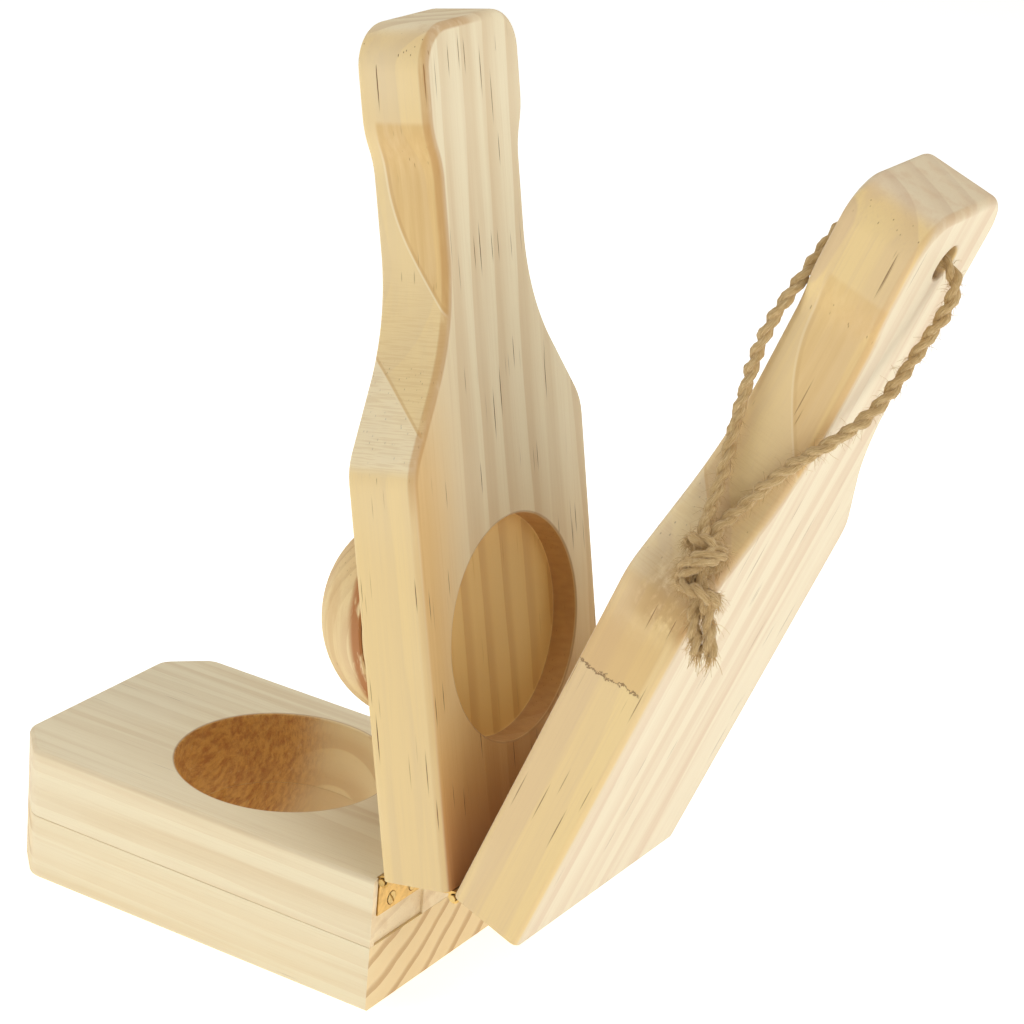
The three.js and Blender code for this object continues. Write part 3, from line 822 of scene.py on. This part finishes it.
def make_plunger():
    rounding = 0.8
    disc_profile = [(PLUNGER_RADIUS - rounding, -DISC_HEIGHT),
                    (PLUNGER_RADIUS - 0.25, -DISC_HEIGHT + 0.25),
                    (PLUNGER_RADIUS, -DISC_HEIGHT + rounding), (PLUNGER_RADIUS, -GLUE_GAP)]
    disc = lathe("plunger_ring", disc_profile, (PRESS_CENTRE, 0), MIDDLE_PLACE)
    joint = -DISC_HEIGHT - GLUE_GAP
    flat = 0.5
    rise = DOME_HEIGHT - flat
    dome_profile = [(PLUNGER_RADIUS * math.sin(a), joint - flat - rise * math.cos(a))
                    for a in quarter(TURNED_STEPS, 1)]
    dome_profile += [(PLUNGER_RADIUS - 0.5, joint)]
    dome = lathe("plunger_cap", dome_profile, (PRESS_CENTRE, 0), MIDDLE_PLACE)
    for obj in (disc, dome):
        smooth(obj, 40)
    plain = pine("pine_disc", pith=(60, -30), spacing=4.0, lean=0.1, face=GOLD, contrast=0.5,
                 flecks=0.4, end_tone=0.4, seed=2.2)
    domed = pine("pine_dome", pith=(-50, -60), spacing=4.6, lean=-0.1,
                 face=linear(226, 194, 136), late=linear(204, 158, 100), flecks=0.4,
                 end_tone=0.5, seed=6.6, extra=("resin",))
    finish_piece(disc, plain, "middle", "plunger_pine", "plunger_disc")
    finish_piece(dome, domed, "middle", "plunger_pine", "plunger_dome", "plunger_dowel")


make_plunger()

# ------------------------------------------------------------------ brass


def metal(name, colour, dark, roughness):
    """Stamped metal with faint brushing, tarnish in blotches and small dents."""
    m = Nodes(name)
    point = m.millimetres()
    blotch = m.noise(point, scale=0.35, detail=4.0, roughness=0.6)
    brushed = m.noise(m.stretched(point, (6.0, 0.4, 6.0)))
    colour = m.tint(colour, m.step(blotch, 0.4, 0.8), 0.55, dark)
    m.put(m.shader.inputs["Base Color"], colour)
    m.shader.inputs["Metallic"].default_value = 1.0
    m.put(m.shader.inputs["Roughness"], m.plus_times(roughness, brushed, 0.25))
    m.bump(m.plus_times(brushed, blotch, 2.0), distance=0.06 * MM, strength=0.6)
    return m.material


def colour_hinges():
    """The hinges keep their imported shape, and only their metal is new."""
    brass = metal("hinge_brass", linear(222, 184, 112), linear(150, 108, 46), 0.3)
    screw_metal = metal("screw_metal", linear(214, 184, 120), linear(120, 92, 48), 0.3)
    for name, node in frame["nodes"].items():
        if "_hinge_" in name:
            node.data.materials.clear()
            node.data.materials.append(brass if name.endswith("_leaf") else screw_metal)


colour_hinges()

# ------------------------------------------------------------------ twine

# The line of the twine on the top paddle: s, then n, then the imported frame's y.
TAIL_ONE = [(116.4, 29.6, -48.4), (119.2, 27.6, -48.6), (122.2, 25.6, -48.6), (124.8, 23.9, -48.2)]
TAIL_TWO = [(126.0, 27.6, -47.4), (123.4, 29.4, -47.8), (120.4, 31.2, -47.8), (117.6, 33.2, -47.6)]
LOOP = [
    (143.5, 15.0, -36.0), (148.0, 16.1, -31.7), (154.0, 17.4, -28.5), (164.5, 21.1, -25.4),
    (175.0, 26.4, -22.9), (181.5, 29.1, -18.4), (188.0, 30.5, -13.7), (196.5, 30.7, -9.5),
    (205.0, 30.7, -6.5), (213.0, 30.7, -3.6), (220.0, 29.4, -1.2), (223.6, 25.1, 0.2),
    (224.2, 18.5, 0.5), (224.2, 8.8, 0.4), (224.2, 2.2, -0.4), (223.8, -1.0, -2.6),
    (222.8, -2.2, -6.0), (220.2, -2.4, -10.0), (216.0, -2.3, -14.0), (210.5, -2.1, -17.6),
    (204.5, -2.1, -20.8), (198.5, -2.4, -23.0), (192.0, -2.5, -23.8), (185.5, -2.2, -23.8),
    (179.0, -1.3, -23.6), (172.0, 0.2, -24.0), (164.5, 2.2, -25.2), (157.5, 4.8, -27.2),
    (150.5, 7.8, -30.7), (144.0, 10.6, -35.6),
]
KNOT_IN = [(129.5, 21.2, -46.8), (135.0, 18.6, -44.0), (139.6, 16.6, -40.0)]
KNOT_OUT = [(139.6, 14.6, -41.8), (135.0, 19.4, -46.8), (130.0, 24.6, -47.6)]
KNOT_CENTRE, KNOT_TOP = (135.5, 19.6, -45.7), (143.4, 12.6, -39.9)

LINE_STEP = 0.5 * MM
PLIES, PLY_SIDES = 2, 12
CORD_SWELL, CORD_LAY = 1.22, 11.0             # loose jute swells; one turn of its plies
WRAP_SWELL, WRAP_LAY = 1.2, 10.0
CORD_FIBRES, KNOT_FIBRES, BRUSH_FIBRES = 1300, 2200, 700
FIBRE_SIDES, FIBRE_RINGS = 3, 6
CLEAR_OF_PADDLE = 2.0                         # fibres keep off the inner face, which closes


def twine_point(point):
    s, n, y = point
    return on_board(TOP_PLACE, s, -y, n)


def between_points(before, a, b, after, u):
    """The point at u from a to b on a smooth curve through four points."""
    return 0.5 * (2 * a + (b - before) * u + (2 * before - 5 * a + 4 * b - after) * u ** 2
                  + (3 * a - before - 3 * b + after) * u ** 3)


def even_line(points, spacing):
    """A smooth line through the points, as points an equal distance apart."""
    padded = [points[0] * 2 - points[1]] + points + [points[-1] * 2 - points[-2]]
    steps = 24
    dense = [between_points(*four, k / steps)
             for four in zip(padded, padded[1:], padded[2:], padded[3:]) for k in range(steps)]
    dense.append(points[-1])
    line, carried = [dense[0]], 0.0
    for a, b in zip(dense, dense[1:]):
        length = (b - a).length
        while length > 0 and carried + length >= spacing:
            a = a.lerp(b, (spacing - carried) / length)
            length = (b - a).length
            carried = 0.0
            line.append(a)
        carried += length
    return line


def frames_along(line):
    """For each point, its tangent and two crosswise directions that don't spin."""
    tangents = [(line[min(k + 1, len(line) - 1)] - line[max(k - 1, 0)]).normalized()
                for k in range(len(line))]
    side = tangents[0].orthogonal().normalized()
    frames = []
    for tangent in tangents:
        side = (side - tangent * side.dot(tangent)).normalized()
        frames.append((tangent, side, tangent.cross(side)))
    return frames


def ply_tube(points, wraps, line, frames, ply, radius, lay):
    """Adds the points of one ply of a twisted cord, as a tube that winds about the line.

    wraps takes each point's place around and along its ply, for the fibres of the jute.
    """
    offset = radius * 0.4
    ply_radius = radius * 0.66
    travelled = 0.0
    for k, (centre, (_, side, other)) in enumerate(zip(line, frames)):
        if k:
            travelled += (centre - line[k - 1]).length
        run = travelled / MM
        turn = 2 * math.pi * (travelled / lay + ply / PLIES)
        loose = 1 + 0.14 * math.sin(run * 0.55 + ply) + 0.1 * math.sin(run * 0.21 + 2.0)
        hub = centre + (side * math.cos(turn) + other * math.sin(turn)) * offset * loose
        size = ply_radius * (1 + 0.08 * math.sin(run * 1.3 + ply * 2) + 0.05 * math.sin(run * 2.9))
        for j in range(PLY_SIDES):
            angle = 2 * math.pi * j / PLY_SIDES
            ridge = 1 + 0.06 * math.cos(4 * angle + run * 1.1)
            ridge += 0.03 * math.cos(7 * angle - run * 2.2)
            out = side * math.cos(angle) + other * math.sin(angle)
            points.append(hub + out * size * ridge)
            wraps.append((2 * math.cos(angle), 2 * math.sin(angle), run * 0.16 + ply * 9))


def rope(name, line, radius, lay):
    frames = frames_along(line)
    points, faces, wraps = [], [], []
    for ply in range(PLIES):
        faces += closed_sleeve(len(line), PLY_SIDES, len(points))
        ply_tube(points, wraps, line, frames, ply, radius, lay)
    obj = wrapped_object(name, points, faces, wraps)
    obj.data.shade_smooth()
    return obj


def wrapped_object(name, points, faces, wraps):
    """An object from points in metres, with each point's place in the fibres of the jute."""
    mesh = bpy.data.meshes.new(name)
    mesh.from_pydata(points, [], faces)
    attribute = mesh.attributes.new("wrap", "FLOAT_VECTOR", "POINT")
    attribute.data.foreach_set("vector", np.asarray(wraps, np.float32).ravel())
    return new_object(name, mesh)


def jute():
    """Dull tan fibres that run along each ply, paler where they are worn."""
    m = Nodes("jute")
    around = m.add("Attribute", attribute_name="wrap").outputs["Vector"]
    strands = m.noise(around, scale=2.6, detail=5.0, roughness=0.75)
    patch = m.noise(m.millimetres(), scale=0.14)
    tan = linear(184, 150, 98)
    colour = m.ramp(strands, [(0.26, linear(122, 90, 50)), (0.42, tan),
                              (0.58, linear(214, 186, 136)), (0.75, linear(238, 218, 174))])
    colour = m.tint(colour, m.step(patch, 0.4, 0.7), 0.35, tan)
    m.put(m.shader.inputs["Base Color"], colour)
    m.shader.inputs["Roughness"].default_value = 0.85
    m.shader.inputs["Specular IOR Level"].default_value = 0.15
    m.shader.inputs["Sheen Weight"].default_value = 0.2
    m.bump(strands, distance=0.4 * MM, strength=0.8)
    return m.material


def hairs(name, roots, length, droop, thick):
    """Loose fibres: thin three-sided tubes that leave the roots and droop."""
    points, faces, wraps = [], [], []
    for origin, outward, tangent in roots:
        heading = outward * random.uniform(0.5, 1.2) + tangent * random.uniform(-1.2, 1.2)
        heading.normalize()
        reach = length * random.uniform(0.35, 1.0)
        thickness = thick * random.uniform(0.8, 1.6)
        curl = random_vector() * 0.55
        shade = (random.uniform(-2, 2), random.uniform(-2, 2), random.uniform(0, 40))
        faces += sleeve(FIBRE_RINGS, FIBRE_SIDES, len(points))
        position = origin.copy()
        for k in range(FIBRE_RINGS):
            size = thickness * (1 - 0.6 * k / (FIBRE_RINGS - 1))
            side = heading.orthogonal().normalized()
            other = heading.cross(side)
            for j in range(FIBRE_SIDES):
                angle = 2 * math.pi * j / FIBRE_SIDES
                points.append(position + (side * math.cos(angle) + other * math.sin(angle)) * size)
                wraps.append(shade)
            heading = (heading + curl * 0.5 + Vector((0, 0, -droop))).normalized()
            position = position + heading * (reach / FIBRE_RINGS)
    return wrapped_object(name, points, faces, wraps)


def random_vector():
    return Vector([random.uniform(-1, 1) for _ in range(3)])


def fibre_roots(line, count, radius):
    """Random roots on the surface of a cord."""
    frames = frames_along(line)
    roots = []
    for _ in range(count):
        k = random.randrange(len(line))
        tangent, side, other = frames[k]
        angle = random.uniform(0, 2 * math.pi)
        outward = side * math.cos(angle) + other * math.sin(angle)
        roots.append((line[k] + outward * radius * 0.8, outward, tangent))
    return roots


def brush_roots(tails):
    """Roots of the frayed brush, which hang from both loose ends."""
    roots = []
    for _ in range(BRUSH_FIBRES):
        spread = Vector((random.uniform(-1, 1), random.uniform(-1, 1), random.uniform(-4.5, -2.2)))
        origin = random.choice(tails) + random_vector() * MM
        roots.append((origin, spread.normalized(), Vector((0, 0, -1))))
    return roots


def knot_wraps():
    """The turns of the knot: a cord laid over an egg in crossing rounds, from top to foot."""
    top, centre = twine_point(KNOT_TOP), twine_point(KNOT_CENTRE)
    axis = (centre - top).normalized()
    side = axis.orthogonal().normalized()
    other = axis.cross(side)
    half = (centre - top).length * 0.86
    turns, crossings, egg_radius = 4.7, 1.5, 4.9
    points = []
    steps = 120
    for k in range(steps + 1):
        u = k / steps
        angle = 2 * math.pi * turns * u + 0.6 * math.sin(9 * u)
        reach = -math.cos(2 * math.pi * crossings * u) * 0.78
        bulge = (egg_radius + 0.5 * math.sin(17 * u)) * MM * math.sqrt(1 - 0.8 * reach * reach)
        around = side * math.cos(angle) + other * math.sin(angle)
        points.append(centre + axis * (half * reach) + around * bulge)
    return even_line(points, LINE_STEP)


def make_twine():
    radius = TWINE_DIAMETER / 2 * MM
    route = [twine_point(p) for p in TAIL_ONE + KNOT_IN + LOOP + KNOT_OUT + TAIL_TWO]
    line = even_line(route, LINE_STEP)
    cord = rope("twine_cord", line, radius * CORD_SWELL, CORD_LAY * MM)
    wraps_line = knot_wraps()
    wraps = rope("twine_wraps", wraps_line, radius * WRAP_SWELL, WRAP_LAY * MM)

    roots = fibre_roots(line, CORD_FIBRES, radius)
    roots += fibre_roots(wraps_line, KNOT_FIBRES, radius)
    to_paddle = TOP_PLACE.inverted()
    roots = [root for root in roots if (to_paddle @ root[0]).z > CLEAR_OF_PADDLE * MM]
    fuzz = hairs("twine_fuzz", roots, 5 * MM, droop=0.28, thick=0.05 * MM)
    tails = line[:44] + line[-44:]
    brush = hairs("twine_brush", brush_roots(tails), 8 * MM, droop=0.6, thick=0.1 * MM)

    material = jute()
    for obj in (cord, wraps, fuzz, brush):
        obj.data.materials.append(material)
        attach(obj, "top")
    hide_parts("twine_loop", "twine_tail_1", "twine_tail_2")
    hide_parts("twine_knot")


make_twine()

# ------------------------------------------------------------------ studio

LIGHT_AIM = Vector((0, 0, 0.12))


def make_floor():
    """A pale sweep with a faint mottle and a little light of its own, as a light table has."""
    mesh = bpy.data.meshes.new("floor")
    size = 6.0
    mesh.from_pydata([(-size, -size, 0), (size, -size, 0), (size, size, 0), (-size, size, 0)], [],
                     [(0, 1, 2, 3)])
    floor = new_object("floor", mesh)
    m = Nodes("floor")
    metres = m.add("TexCoord").outputs["Object"]
    mottle = m.noise(metres, scale=3.0, detail=2.0)
    colour = m.tint((0.97, 0.97, 0.95, 1), mottle, 0.2, (0.93, 0.93, 0.91, 1))
    m.put(m.shader.inputs["Base Color"], colour)
    m.shader.inputs["Roughness"].default_value = 0.9
    m.shader.inputs["Specular IOR Level"].default_value = 0.1
    m.shader.inputs["Emission Color"].default_value = (1, 1, 0.985, 1)
    m.shader.inputs["Emission Strength"].default_value = 0.6
    mesh.materials.append(m.material)


def area_light(name, position, size, watts):
    """A round soft box that faces the middle of the press."""
    light = bpy.data.lights.new(name, "AREA")
    light.shape = "DISK"
    light.size = size
    light.energy = watts
    obj = new_object(name, light)
    obj.location = position
    towards = LIGHT_AIM - Vector(position)
    obj.rotation_euler = towards.to_track_quat("-Z", "Y").to_euler()


def make_studio():
    make_floor()
    area_light("left", (-1.0, -0.9, 0.75), 1.1, 6.2)
    area_light("right", (1.35, -0.2, 0.85), 1.1, 9.2)
    area_light("top", (-0.1, 0.3, 1.5), 1.2, 6.6)
    world = bpy.data.worlds.new("studio")
    world.use_nodes = True
    background = world.node_tree.nodes["Background"]
    background.inputs["Color"].default_value = (1.0, 0.99, 0.97, 1)
    background.inputs["Strength"].default_value = 0.28
    bpy.context.scene.world = world
    bpy.context.scene.view_settings.view_transform = "Standard"


make_studio()
